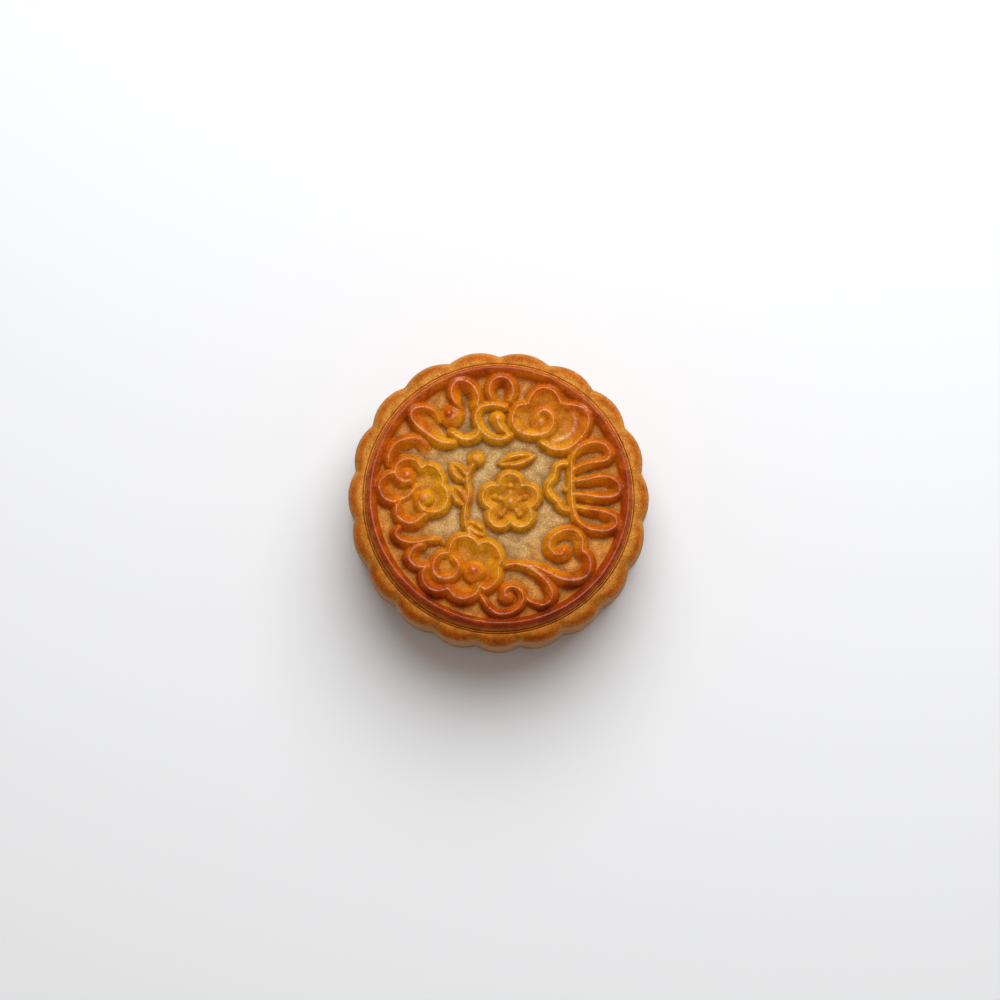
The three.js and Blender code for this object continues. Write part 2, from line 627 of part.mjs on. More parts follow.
// Splits each cell of the grid along the diagonal that runs more level, so that facets follow the
// ridges. Every cell is two triangles, a b d and b c d, as three.js makes them.
function foldAlongRidges(geometry) {
  const index = geometry.getIndex();
  const position = geometry.getAttribute("position");
  for (let k = 0; k < index.count; k += 6) {
    const [a, b, d, c] = [index.getX(k), index.getX(k + 1), index.getX(k + 2), index.getX(k + 4)];
    const kept = Math.abs(position.getZ(b) - position.getZ(d));
    const other = Math.abs(position.getZ(a) - position.getZ(c));
    if (other < kept) [a, b, c, a, c, d].forEach((vertex, i) => index.setX(k + i, vertex));
  }
}

// ---- Joining -----------------------------------------------------------------------------------

const wasm = await Module();
wasm.setup();

function solid(geometry) {
  for (const name of ["normal", "uv"]) geometry.deleteAttribute(name);
  const merged = mergeVertices(geometry, 1e-4);
  const corners = merged.getIndex().array;
  const triangles = [];
  for (let k = 0; k < corners.length; k += 3) {
    const [a, b, c] = corners.subarray(k, k + 3);
    if (a !== b && b !== c && c !== a) triangles.push(a, b, c);
  }
  return new wasm.Manifold(
    new wasm.Mesh({
      numProp: 3,
      vertProperties: new Float32Array(merged.getAttribute("position").array),
      triVerts: new Uint32Array(triangles),
    }),
  );
}

function cake() {
  const motifs = [upperPetals, topKnot, cloud, fan, leftFlower, lowerFlower, lowerScrolls, blossom];
  for (const draw of motifs) draw();
  const cutter = new THREE.CylinderGeometry(plateRadius, plateRadius, 4 * plateThickness, 96);
  cutter.rotateX(Math.PI / 2).translate(0, 0, fieldHeight);
  const plate = solid(plateGeometry()).intersect(solid(cutter));
  const mesh = solid(bodyGeometry()).add(plate).getMesh();
  const geometry = new THREE.BufferGeometry();
  geometry.setAttribute("position", new THREE.BufferAttribute(mesh.vertProperties, 3));
  geometry.setIndex(new THREE.BufferAttribute(mesh.triVerts, 1));
  geometry.translate(0, outlineShift, 0);
  geometry.computeVertexNormals();
  return geometry;
}

const crust = new THREE.MeshStandardMaterial({ color: 0xb8701f, roughness: 0.55, metalness: 0 });
const mooncake = new THREE.Mesh(cake(), crust);
mooncake.name = "mooncake";

const group = new THREE.Group();
group.add(mooncake);

export default group;
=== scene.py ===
# A baked mooncake on a pale table: one round pastry with a scalloped side, and on its sunken top the
# ornament that the wooden mould pressed into the dough. Metres, +Z up.
from math import ceil, cos, hypot, pi, radians, sin

import bmesh
import bpy
import numpy as np
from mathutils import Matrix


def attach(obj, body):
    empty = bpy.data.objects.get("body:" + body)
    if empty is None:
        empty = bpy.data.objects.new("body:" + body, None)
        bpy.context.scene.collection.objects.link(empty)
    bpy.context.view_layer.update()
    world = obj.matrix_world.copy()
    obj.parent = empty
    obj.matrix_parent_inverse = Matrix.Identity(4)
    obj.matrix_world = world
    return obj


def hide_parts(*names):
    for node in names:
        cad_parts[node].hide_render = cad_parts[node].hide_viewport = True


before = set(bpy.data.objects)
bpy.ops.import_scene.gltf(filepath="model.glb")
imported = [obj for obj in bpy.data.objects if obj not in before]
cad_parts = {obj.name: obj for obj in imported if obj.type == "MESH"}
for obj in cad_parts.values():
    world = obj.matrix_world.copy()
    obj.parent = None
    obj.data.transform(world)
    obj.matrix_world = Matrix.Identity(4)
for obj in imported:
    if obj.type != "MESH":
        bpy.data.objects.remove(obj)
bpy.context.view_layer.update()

# ---- The mooncake: the mould's ornament --------------------------------------------------------
# The ornament is what the carved hollows of the mould left on the dough: ridges, beads and the raised
# floors inside the flowers. It is drawn in millimetres from the middle of the mould's stamp.

CREST = 2.3        # height of the ridges above the field
FLOOR = 0.8        # height of the ground inside a flower or the cloud
FLOOR_EDGE = 1     # over which that ground rises from its outline
STAMP = (-0.2, -0.25)   # the mould's middle, a little off the cake's
ridges = []
beads = []
floors = []


def arc(x, y, radius, start, end):
    """Points on a round stretch of a ridge, from one angle to another in degrees."""
    steps = max(3, ceil(abs(end - start) / 15))
    turns = [radians(start + (end - start) * i / steps) for i in range(steps + 1)]
    return [(x + radius * cos(t), y + radius * sin(t)) for t in turns]


def smooth_path(points, step=0.3):
    """A smooth line through the points, as points about one step apart."""
    kept = [np.array(points[0], float)]
    for point in points[1:]:
        if hypot(*(point - kept[-1])) > step:
            kept.append(np.array(point, float))
    ends = [2 * kept[0] - kept[1], *kept, 2 * kept[-1] - kept[-2]]
    path = []
    for a, b, c, d in zip(ends, ends[1:], ends[2:], ends[3:]):
        knots = np.cumsum([0] + [hypot(*(q - p)) ** 0.5 for p, q in ((a, b), (b, c), (c, d))])
        count = max(1, int(hypot(*(c - b)) / step))
        for i in range(count):
            t = knots[1] + (knots[2] - knots[1]) * i / count

            def between(p, q, i, j):
                return ((knots[j] - t) * p + (t - knots[i]) * q) / (knots[j] - knots[i])

            first = between(between(a, b, 0, 1), between(b, c, 1, 2), 0, 2)
            second = between(between(b, c, 1, 2), between(c, d, 2, 3), 1, 3)
            path.append(between(first, second, 1, 2))
    return np.array(path + [kept[-1]])


def ridge(points, left, right, top=CREST):
    """A ridge along the points; left and right are its widths from crest to foot and top its height,
    each one value or a list of values spread along it."""
    ridges.append((smooth_path(points), *(np.atleast_1d(values) for values in (left, right, top))))


def bead(x, y, radius, top=CREST):
    """A round bead, or the rounded end of a scroll."""
    beads.append((x, y, radius, top))


def floor_inside(outline, height=FLOOR):
    """Raised ground inside a closed outline."""
    floors.append((smooth_path([*outline, outline[0]]), height))


# Upper left: a petal loop, a bead, a hairpin petal beside it and the curl under both.
loop = [(-11.8, 14.9), (-13.5, 14.9), (-15.5, 15.3), (-18, 16.8), (-20.5, 18.6), (-22.5, 20.7),
        (-23.2, 22.6), (-22.2, 24.1), (-20.3, 24.6), (-18.4, 24.3), (-17, 23.6), (-16.1, 22.2),
        (-15.6, 20.5)]
ridge(loop, [1.5, 2.1, 2.3, 2, 1.8, 1.6, 1.5, 1.4, 1.3, 1.2, 1, 0.8],
      [1.6, 1.6, 1.6, 1.6, 1.7, 2.1, 2.8, 3, 2.8, 2.4, 2, 1.5, 0.9])
floor_inside(loop, 0.9)
bead(-12.3, 22.1, 3.45)
bead(-13.1, 22.9, 1.8, CREST + 0.45)
ridge([(-10.4, 24.2), (-11.5, 25.8), (-12.4, 28), (-12.2, 30), (-11, 31.5), (-9.5, 31.8), (-7.5, 31),
       (-5.8, 29), (-5.1, 26.5), (-5.5, 25)],
      [0.8, 1.3, 1.6, 1.6, 1.5, 1.5, 1.6, 1.6, 1.4], [1.3, 2.3, 3, 3, 3.2, 3.3, 3.1, 2.9, 2.8, 2.5])
ridge([(-12.3, 17.8), (-11.3, 17), (-9.5, 16), (-7.5, 15.9), (-5.7, 16.8), (-4.8, 18.5)],
      [1.6, 1.9, 1.9], [1.6, 1.9, 1.8])

# Top: an upright hairpin petal over an open knot with a comma in it.
ridge([(-1.5, 26.5), (-2.3, 29), (-1.5, 31.5), (0.5, 32.7), (2.8, 32), (4, 30), (4, 28), (3.3, 26.3)],
      [1.4, 1.7, 1.6, 1.5, 1.6, 1.8, 1.8, 1.6], [1.5, 2, 2.7, 3.2, 3, 2.5, 2.3, 1.7])
ridge([(1.9, 24.5), (0.4, 25), (-2, 25.1), (-4, 24.7), (-5.4, 23.6), (-6, 21.9), (-5.6, 20),
       (-4.6, 18.4), (-3.3, 17.2), (-1.8, 16.3), (0, 15.8), (1.8, 16), (3.2, 16.9)],
      [1.5, 1.7, 1.7, 2.1, 2.2, 2, 1.7, 1.6, 1.5], [1.5, 1.5, 1.4, 1.3, 1.3, 1.5, 1.8, 1.8, 1.5])
bead(-0.1, 21.5, 2.4, 2.1)
ridge([(-0.1, 21.4), (0.1, 20.3), (0.8, 19.1), (1.6, 18.2), (2.4, 17.6)], [2.2, 1.5], [2.1, 1.3], 2.1)

# Upper right: a cloud of three lobes round a scroll.
lip = [(8, 25.3), (5.5, 24.9), (4.2, 23), (3.9, 21), (4.8, 18.7), (7, 17.3), (10, 16.9)]
ridge([*lip, (13, 17.8), (14.5, 19.5), (14.6, 21.5), (13.8, 23), (12.4, 23.7), (10.9, 23), (10.2, 21.5)],
      [2.2, 2.6, 2.6, 2.4, 2, 2, 2.3, 2.6, 2.4, 2, 1.5], [1.5, 1.6, 1.6, 1.8, 1.8, 1.7, 1.6, 1.5, 1.3])
top_lobe = [(8, 25.5), (9, 27.5), (10.5, 29.2), (12.8, 29.7), (15, 28.7), (16.2, 27), (17, 25.3)]
ridge(top_lobe, 1.5, 2.7)
right_lobe = [(17, 25.3), (19, 25.2), (20.8, 24.9), (23, 24), (24.2, 22), (24, 19.5), (22.5, 16.8),
              (20.5, 14.6), (18, 13.2), (15.5, 13), (13, 14), (11.5, 15)]
ridge(right_lobe, [1.3, 1.5, 1.6, 1.6, 1.7, 1.9, 1.9, 1.8, 1.3],
      [1.2, 2.4, 3.2, 3.4, 3.3, 2.8, 2.3, 2, 1.8, 1.3])
floor_inside([*lip, *right_lobe[::-1], *top_lobe[::-1]], 1.15)
ridge([(19.5, 24.5), (20.5, 22), (20.6, 20), (19.5, 17.5), (17.5, 16), (15, 15.3)], 1.1, 1.1, 1.75)
bead(10.7, 20.7, 2.4, 2)

# Right: a fan of three loops on a spine, with a wavy frill on its inner side.
ridge([(20.3, 12), (19.8, 10.5), (19.7, 7), (19.7, 3.5), (19.8, 0), (20.3, -3.5), (21, -5.5)], 1.2, 1.7)
bead(18.1, 2.4, 1, 1.4)
ridge([(20.3, 12), (21.5, 13.5), (24, 14.8), (27, 15), (29, 14), (29.9, 12.3), (29.5, 10.7),
       (28, 10), (25, 9.7), (22.5, 9), (20.2, 7.9)],
      [1.5, 1.4, 1.4, 1.5, 1.6, 1.8, 2, 2.1, 1.9], [1.6, 2.4, 2.9, 2.7, 2.4, 2, 1.5, 1.2, 1.1, 0.9])
ridge([(20.2, 4.6), (24, 5.2), (27, 5.9), (29.5, 5.8), (31.5, 4.8), (32.6, 3), (32, 1.2), (30, 0.4),
       (27, 0.4), (24, 0.9), (20.5, 1.3)],
      [1.2, 1.3, 1.3, 1.3, 1.3, 1.5, 1.9, 2.2, 2.3, 2], [1.6, 2.2, 2.6, 2.8, 3, 3.2, 2.2, 1.6, 1.4, 1])
ridge([(20.7, -2.2), (24, -2.8), (27, -3.2), (29.5, -3.9), (31.3, -5), (31.6, -6.8), (30, -8.3),
       (27, -8.6), (24, -7.9), (21.8, -6.3), (20.8, -4.8)],
      [1.1, 1.1, 1.2, 1.4, 1.6, 1.9, 2.1, 2, 1.7], [1.4, 2, 2.3, 2.6, 2.8, 2.4, 1.8, 1.5, 1.3, 1])
ridge([(18.3, 9.3), (16.8, 9.2), (15.6, 8.3), (15.2, 6.5), (14.8, 5.3), (13.8, 4.2), (13.2, 2.8),
       (13.8, 1.2), (15, 0), (16, -1), (16.6, -2.2), (17.6, -3), (18.6, -3.2)],
      [1.3, 1.4, 1.6, 1.5, 1.4], [1.3, 1.4, 1.6, 1.6, 1.4], 2)

# Left: a flower with a scroll in two of its lobes, and an arched leaf over it.
arch = [(-29.3, 9), (-29, 11.7), (-28.2, 13.5), (-26.9, 15), (-25, 15.8), (-23, 16.2), (-21.4, 16),
        (-20, 15), (-18.8, 13.7), (-18, 12.6)]
ridge(arch, [1.1, 1.6, 1.6, 1.5, 1.5, 1.6, 1.8, 2, 2.4, 2.6],
      [1.2, 2.4, 3, 3, 3, 2.8, 2.4, 2.2, 2.2, 2.2],
      [CREST, CREST, CREST, CREST, CREST, 2.1, 1.8, 1.3, 0.5])
first_scroll = [(-23, 5.6), (-23.6, 4.8), (-24.7, 4.5), (-25.8, 4.9), (-26.9, 5.8), (-27.3, 7.2),
                (-26.9, 8.9), (-25.5, 10.2), (-23.7, 10.7), (-22, 10.3), (-20.9, 9.3), (-20.2, 8.2)]
ridge(first_scroll, [1.3, 2, 2.3, 2.1, 1.7, 1.6, 1.5, 1.4, 1.3, 1.2, 1.3],
      [1.2, 1.2, 1.2, 1.3, 1.8, 2.2, 2.6, 2.7, 2.6, 2.3, 1.8])
bead(-24.2, 6.3, 2.1, CREST + 0.2)
left_lobe = [(-27.8, 7), (-29.3, 6.5), (-30.8, 5.3), (-31.7, 3.7), (-31.3, 1.9), (-30.5, 0.4), (-29, -0.6),
             (-27.4, -0.9)]
ridge(left_lobe, [1.6, 2.4, 2.6, 2.6, 2.2], [1.5, 1.6, 1.6, 2, 2.3, 1.9])
low_lobe = [(-26.9, -1.9), (-27.1, -3.4), (-26.5, -4.9), (-25.2, -6), (-23.4, -6.6), (-21.5, -6),
            (-20.4, -5.1), (-19.6, -4.4)]
ridge(low_lobe, [1.4, 2.2, 2.5, 2.4, 2, 1.4], [1.4, 1.6, 2, 2.3, 2.2, 1.7])
ridge([(-27.2, -0.9), (-25.5, -0.1), (-24, 0.7), (-22.7, 2), (-21.6, 3.3)], 1, 1, 1.9)
high_lobe = [(-20.2, 8.2), (-19, 8.9), (-17.5, 8.8), (-16, 7.9), (-15, 6.4), (-14.6, 4.9),
             (-14.8, 3.6)]
ridge(high_lobe, [1.3, 1.3, 1.4], 2.8)
second_scroll = [(-14.8, 3.6), (-13.9, 2.6), (-13.3, 0.6), (-13.7, -1.4), (-15, -3), (-17, -3.6),
                 (-19, -3.3), (-20.4, -2.1), (-21, -0.6), (-20.6, 0.5)]
ridge(second_scroll, [1.3, 1.3, 1.4, 1.7, 1.9, 1.9, 1.8, 1.8], [2.4, 2.6, 2.6, 2.1, 1.5, 1.2, 1, 0.9])
bead(-19.3, 0.2, 2.4, CREST + 0.3)
floor_inside([*left_lobe, *low_lobe, *second_scroll[6::-1], *high_lobe[::-1], *first_scroll[:4:-1]])

# Lower left: two hooked leaves and a flower of five lobes with a ring and a bead in it.
ridge([(-26.3, -7.7), (-27.2, -9.1), (-26.7, -10.3), (-25.3, -11.2), (-22.9, -11.7), (-21, -11.6),
       (-19, -11.1), (-17, -10.8), (-15.3, -11), (-14.6, -11.5)],
      [1.2, 1.5, 1.5, 1.5, 1.3, 1.1, 0.9], [1.3, 1.9, 2.1, 2.2, 2, 1.9, 1.9, 1.8, 1.2],
      [CREST, CREST, CREST, CREST, 2.2, 2, 1.8, 1.6, 1.3])
ridge([(-20.3, -12.3), (-21.5, -12.7), (-22.5, -13.3), (-23.4, -14.8), (-23.7, -16),
       (-22.9, -17.2), (-21.7, -18.1), (-20, -18.3), (-19, -17.7)],
      [1.8, 2.6, 3, 3.2, 3.1, 2.6, 1.9, 1.3], [0.7, 1.2, 1.7, 1.9, 2, 1.9, 1.6, 1.2])
lobes = [(-13, -14.2), (-12.5, -12.4), (-11.4, -10.8), (-9.4, -10.1), (-7.3, -10.3), (-5.8, -11.5),
         (-5.2, -12.5), (-4.3, -11.9), (-2.4, -11.7), (-0.6, -12.9), (0.5, -14.7), (0.8, -16.5),
         (0.1, -18), (0.2, -19.5), (-0.2, -21.6), (-1.6, -23.3), (-3.3, -24.1), (-5, -23.5),
         (-5.5, -24.8), (-7, -26), (-9.4, -26.7), (-11.4, -26), (-12.7, -24.7), (-13.2, -24),
         (-14.5, -24.4), (-16.4, -24.6), (-18.5, -23.7), (-19.7, -22), (-19.9, -20), (-19.1, -18.4)]
ridge(lobes, [1.4, 1.5, 1.5, 1.6, 1.6, 1.7, 1.8, 2.1, 2.4, 2.4, 2.4, 2, 1.7], 3)
ring = [(-13.4, -14.5), (-15, -14.7), (-16.4, -15.8), (-17.2, -17.6), (-17.1, -19.4), (-16, -20.8),
        (-14.3, -21.4), (-12.5, -21.1), (-11, -19.9), (-10.4, -18.2), (-10.8, -16.7), (-11.6, -15.9)]
ridge(ring, 1.6, [1.4, 1.5, 1.6, 1.8, 1.9, 1.8, 1.5, 1.3])
floor_inside([*lobes, *ring[3:0:-1]])
floor_inside(arc(-13.8, -18, 2.9, 0, 345), 1.1)
bead(-6.3, -19.7, 3.3, 2.5)
bead(-6.5, -19.1, 2, CREST + 0.5)

# Bottom and lower right: a scroll, a looped stem and a long swoosh that ends in a scroll.
ridge([(-4.4, -26), (-3.5, -27.5), (-2.3, -29.2), (0, -30.7), (3, -30.6), (5.6, -29), (6.8, -26.9),
       (6.4, -24.9), (5.1, -23.8), (3.4, -23.5), (2, -24.4), (1.8, -25.6)],
      [1.2, 1.7, 1.8, 1.7, 1.7, 1.8, 1.9, 1.9, 1.7, 1.6, 1.4],
      [1.2, 1.7, 1.8, 1.6, 1.5, 1.4, 1.4, 1.5, 1.7, 2])
bead(2.2, -26.2, 2.4, 2.2)
bead(2.3, -26, 1, CREST)
ridge([(2, -17.8), (5, -17.4), (7.5, -18), (10, -19.5), (12.3, -21.4), (14, -23.7), (14.5, -25.7),
       (13.8, -27.4), (12, -28.4), (10, -27.9), (8.3, -27.2), (7.5, -26.3)],
      [1.4, 1.3, 1.3, 1.4, 1.5, 1.7, 1.8, 2.1, 2.1, 1.8, 1.4, 1],
      [1.4, 1.6, 1.9, 2, 2.1, 2.4, 2.5, 2.1, 1.6, 1.2, 1])
ridge([(5, -17.3), (7.4, -17.6), (9.3, -17.9), (11, -18.6), (13.6, -19.8), (16.3, -21.2), (18.6, -21.8),
       (21.3, -21.7), (23.3, -20.9), (24.3, -19.7), (24.7, -18), (24.6, -16.5), (23.8, -15),
       (22.5, -13.7), (22.7, -12), (22.4, -10.4), (21.4, -9), (20, -8.3), (17.6, -8.5), (15.5, -9.5),
       (14.3, -10.8), (13.8, -12.3), (14.3, -13.8), (15.8, -14.9), (17.2, -14.5), (17.6, -13.4)],
      [1.3, 1.4, 1.6, 1.8, 2.2, 2.4, 2.8, 3.3, 3.3, 2.9, 2.7, 3.2, 3.4, 3.4, 2.8, 2.2, 1.6, 1.1, 0.9],
      [0.8, 1, 1.2, 1.8, 2.3, 2.4, 2.2, 2, 1.8, 1.6, 1.7, 1.7, 1.4, 1.3, 1.5, 1.8, 2, 2.4, 2.4, 1.8])
bead(17.3, -14.6, 2.5, 2.1)

# Middle: a blossom of five lobes with stamens round a bead, beside a twig with leaves and a bud.
BLOSSOM = (3.3, -0.9)
PETALS = 5
PETAL_REACH = 4.6      # from the middle to the middle of a petal
PETAL_RADIUS = 3
PETAL_TURN = 98        # degrees that a petal's arc runs to either side of its tip
CLOSING_TURN = 60      # degrees from the first petal's tip at which the outline ends, over its start
OVERLAP = 3            # points of the outline that lie over its start
outline = []
for k in range(PETALS + 1):
    turn = 90 - 360 / PETALS * k
    px = BLOSSOM[0] + PETAL_REACH * cos(radians(turn))
    py = BLOSSOM[1] + PETAL_REACH * sin(radians(turn))
    end = turn - PETAL_TURN if k < PETALS else turn + CLOSING_TURN
    outline += arc(px, py, PETAL_RADIUS, turn + PETAL_TURN, end)
    if k < PETALS:
        stamen = [(BLOSSOM[0] + reach * cos(radians(turn)), BLOSSOM[1] + reach * sin(radians(turn)))
                  for reach in (1.8, 3, 4.2)]
        ridge(stamen, 0.7, 0.7)
        bead(*stamen[-1], 0.9, 2)
ridge(outline, 1.5, 2.3)
floor_inside(outline[:-OVERLAP], 0.9)
bead(*BLOSSOM, 2.1)
ridge([(-7.2, -10), (-8.7, -6.5), (-8.6, -2.5), (-7.7, 1.5), (-8.2, 5.5), (-6.6, 9)], 1.3, 1.3, 2.2)
bead(-5.8, 10.6, 2.5)
# each leaf is two ridges, from stalk to tip, that part round its middle
for x0, y0, x1, y1, width in (
    (-8.4, -2.2, -12.4, 3.6, 2.3),
    (-8, 4.2, -12.6, 9.6, 2.3),
    (-8.4, -6.2, -3.2, -9.8, 2),
    (0, 9.2, 10, 11.4, 2.3),
):
    for side in (1, -1):
        out = side * 0.5 * width / hypot(x1 - x0, y1 - y0)
        thick = [0.6, 0.62 * width, 0.62 * width, 0.5]
        ridge([(x0 + (x1 - x0) * t - (y1 - y0) * out * sin(pi * t),
                y0 + (y1 - y0) * t + (x1 - x0) * out * sin(pi * t))
               for t in (0.02, 0.2, 0.4, 0.6, 0.8, 1)], thick, thick, 2.2)


def nearest(path, x, y):
    """For each point: its distance from the path, how far along the path that is as a share of its
    length, and whether the point is on the left."""
    ax, ay = path[:-1].T
    dx, dy = np.diff(path, axis=0).T
    gone = np.concatenate([[0], np.cumsum(np.hypot(dx, dy))])
    qx, qy = x[:, None] - ax, y[:, None] - ay
    t = np.clip((qx * dx + qy * dy) / (dx * dx + dy * dy), 0, 1)
    ox, oy = qx - t * dx, qy - t * dy
    i = (ox * ox + oy * oy).argmin(1)
    row = np.arange(len(i))
    ox, oy, t = ox[row, i], oy[row, i], t[row, i]
    share = (gone[i] + t * (gone[i + 1] - gone[i])) / gone[-1]
    return np.hypot(ox, oy), share, dx[i] * oy > dy[i] * ox


def inside(path, x, y):
    """Whether each point is inside the closed path."""
    ax, ay = path[:-1].T
    bx, by = path[1:].T
    y = y[:, None]
    spans = (ay > y) != (by > y)
    return (spans & (x[:, None] < ax + (y - ay) / (by - ay + 1e-12) * (bx - ax))).sum(1) % 2 == 1


def near(path, reach, x, y):
    """Whether each point is in the upright box round the path, grown by the reach."""
    low = path.min(0) - reach
    high = path.max(0) + reach
    return (x > low[0]) & (x < high[0]) & (y > low[1]) & (y < high[1])


def blend_heights(a, b, fill=0.25):
    """The larger of two heights, with the crease between them slightly filled."""
    overlap = np.maximum(fill - np.abs(a - b), 0) ** 2 / (4 * fill)
    return np.maximum(a, b) + overlap * np.clip(np.minimum(a, b) / fill, 0, 1)


def spread(values, share):
    """The value at each share of a ridge's length, where the values stand evenly along it."""
    return np.interp(share, np.linspace(0, 1, len(values)), values)


HALO = 3.0         # how far from a ridge's foot the field is darkened as painted shade
FULL_RIDGE = 3     # foot to foot; a narrower ridge doesn't reach its full height
NARROW_FLANK = 1.8     # crest to foot; a wider flank begins to be dished
WIDE_FLANK = 3.2       # from here on it is wholly dished, and sooner on a raised floor


def flank(share, width, ground):
    """A ridge's height, as a share of its crest's, at a share of the way from crest to foot. Narrow
    flanks bulge; wide ones are dished, most of all where they run down to a raised floor."""
    raised = np.clip(ground, 0, 1)
    wide = np.clip((width - NARROW_FLANK) / (WIDE_FLANK - NARROW_FLANK - 0.6 * raised), 0, 1)
    bulge = 1.75 - wide * (0.35 + 0.25 * raised)
    dished = 0.7 + wide * (0.25 + 0.6 * ground)
    return (1 - share ** bulge) ** dished


def ornament(x, y):
    """Over each point: the height of the ornament, that of the ground it stands on, how near a crest
    is, from 0 at its foot to 1, and how far off the nearest foot of the ornament is."""
    x = x - STAMP[0]
    y = y - STAMP[1]
    ground = np.zeros_like(x)
    clear = np.full_like(x, HALO)
    for path, height in floors:
        here = np.flatnonzero(near(path, 0, x, y))
        here = here[inside(path, x[here], y[here])]
        up = np.clip(nearest(path, x[here], y[here])[0] / FLOOR_EDGE, 0, 1)
        ground[here] = np.maximum(ground[here], height * up * up * (3 - 2 * up))
        clear[here] = 0
    above = np.zeros_like(x)
    proud = np.zeros_like(x)
    for bx, by, radius, top in beads:
        share = np.hypot(x - bx, y - by) / radius
        dome = np.clip(1 - share ** 2, 0, None) ** 0.5
        above = blend_heights(above, (top - ground) * dome)
        proud = np.maximum(proud, dome)
        clear = np.minimum(clear, (share - 1) * radius)
    for path, left, right, top in ridges:
        here = near(path, max(left.max(), right.max()) + HALO, x, y)
        distance, share, on_left = nearest(path, x[here], y[here])
        wide_left, wide_right = spread(left, share), spread(right, share)
        width = np.where(on_left, wide_left, wide_right)
        fullness = np.minimum(1, (wide_left + wide_right) / FULL_RIDGE) ** 0.6
        slope = flank(np.clip(distance / width, 0, 1), width, ground[here])
        rise = np.clip(spread(top, share) * fullness - ground[here], 0, None) * slope
        above[here] = blend_heights(above[here], rise)
        proud[here] = np.maximum(proud[here], slope)
        clear[here] = np.minimum(clear[here], distance - width)
    return ground + above, ground, proud, np.maximum(clear, 0)


# ---- The mooncake: its body --------------------------------------------------------------------
# One round of filled dough. A grid of fine cells makes the ornamented top; its edge is extruded over
# the border ridge, the bead, the rim and down the scalloped side to the flat base.

MM = 0.001         # in metres: sizes are in millimetres up to the finished mesh
FIELD = 30.7       # height of the sunken top
CELLS = 232        # across the ornamented top
FIELD_RADIUS = 32.2
BORDER_FOOT = 32.35    # radius of the border's inner foot
FOOT_OUT = 0.25        # how far that foot is shifted, and in which direction
FOOT_SIDE = radians(60)
BORDER_CREST = 34.3
CREST_OUT = 0.75       # how far the crest leans outwards on the side that CREST_SIDE points to
CREST_IN = 1.1         # and how far inwards on the opposite side
CREST_SIDE = radians(68)
CREST_ROUNDNESS = 0.62     # the smaller, the blunter the crest
GROOVE_INNER = 35.55
GROOVE_DEPTH = 0.2
BEAD = 35.85
GROOVE_OUTER = 36.15
RIM_INNER = 36.4   # where the scalloped top of the rim begins
LEDGE_HEIGHT = 0.05    # of the bead, and of the rim's beginning, above the field
# from the border's outer foot to the rim: radius, and height above the field
LEDGE = [(GROOVE_INNER, -GROOVE_DEPTH), (35.7, -0.02), (BEAD, LEDGE_HEIGHT), (36, -0.02),
         (GROOVE_OUTER, -GROOVE_DEPTH), (36.28, -0.05), (RIM_INNER, LEDGE_HEIGHT)]
TIP = 40.2         # radius at the middle of a scallop
SCALLOPS = 19
SCALLOP_ARC = 11   # radius of a scallop's own arc
FIRST_NOTCH = 13.8     # degrees, before the drift
NOTCH_DRIFT = 3.7      # degrees at most; it makes the scallops wider towards +Y, narrower towards -Y
NOTCH_SOFTNESS = 0.008     # radians over which the arcs run into each other
# how the edge departs from round: waves round the cake, share of the size, and degrees of a high place
OUT_OF_ROUND = ((2, 0.0075, -18), (4, 0.006, 43))
RIM_ROUND = 2.7    # of the rim's outer edge
RIM_FALL = 0.7     # from the bead out to that round
BULGE = 0.3        # of the side between rim and base
SIDE_BOTTOM = 1    # height at which the side turns in to the base
OUTLINE_SHIFT = 0.2


def lobe(angle):
    """The share of the plain size in one direction, and the turn from the middle of its scallop."""
    size = 1 + sum(share * np.cos(waves * (angle - radians(high))) for waves, share, high in OUT_OF_ROUND)
    place = (np.degrees(angle) + NOTCH_DRIFT * np.cos(angle) - FIRST_NOTCH) / (360 / SCALLOPS)
    half = pi / SCALLOPS
    turn = np.abs(place % 1 - 0.5) * 2 * half
    return size, half - np.sqrt((half - turn) ** 2 + NOTCH_SOFTNESS ** 2)


def scalloped_radius(angle):
    """The cake's edge in one direction: arcs that meet in soft notches."""
    size, turn = lobe(angle)
    centre = TIP - SCALLOP_ARC
    return size * (centre * np.cos(turn) + np.sqrt(SCALLOP_ARC ** 2 - (centre * np.sin(turn)) ** 2))


def inwards_of_edge(radius, angle):
    """How far a place is inside the arc of its own scallop."""
    size, turn = lobe(angle)
    centre = TIP - SCALLOP_ARC
    r = radius / size
    return SCALLOP_ARC - np.sqrt(r * r + centre ** 2 - 2 * r * centre * np.cos(turn))


def rim_height(radius, angle):
    """The scalloped top of the rim: each scallop is a pad that rounds off towards its own arc."""
    out = np.clip((radius - RIM_INNER) / (TIP - RIM_INNER), 0, 1)
    away = 1 - np.clip(inwards_of_edge(radius, angle) / RIM_ROUND, 0, 1)
    fade = np.clip(3 * out, 0, 1)
    round_off = RIM_ROUND * (1 - np.sqrt(1 - away ** 2)) * fade * fade * (3 - 2 * fade)
    return FIELD + LEDGE_HEIGHT - RIM_FALL * out ** 1.5 - round_off


def border_crest(angle):
    """Radius of the border's crest, which leans outwards on one side and inwards on the other."""
    lean = np.cos(angle - CREST_SIDE)
    return BORDER_CREST + np.where(lean > 0, CREST_OUT * np.tanh(2 * lean), -CREST_IN * lean * lean)


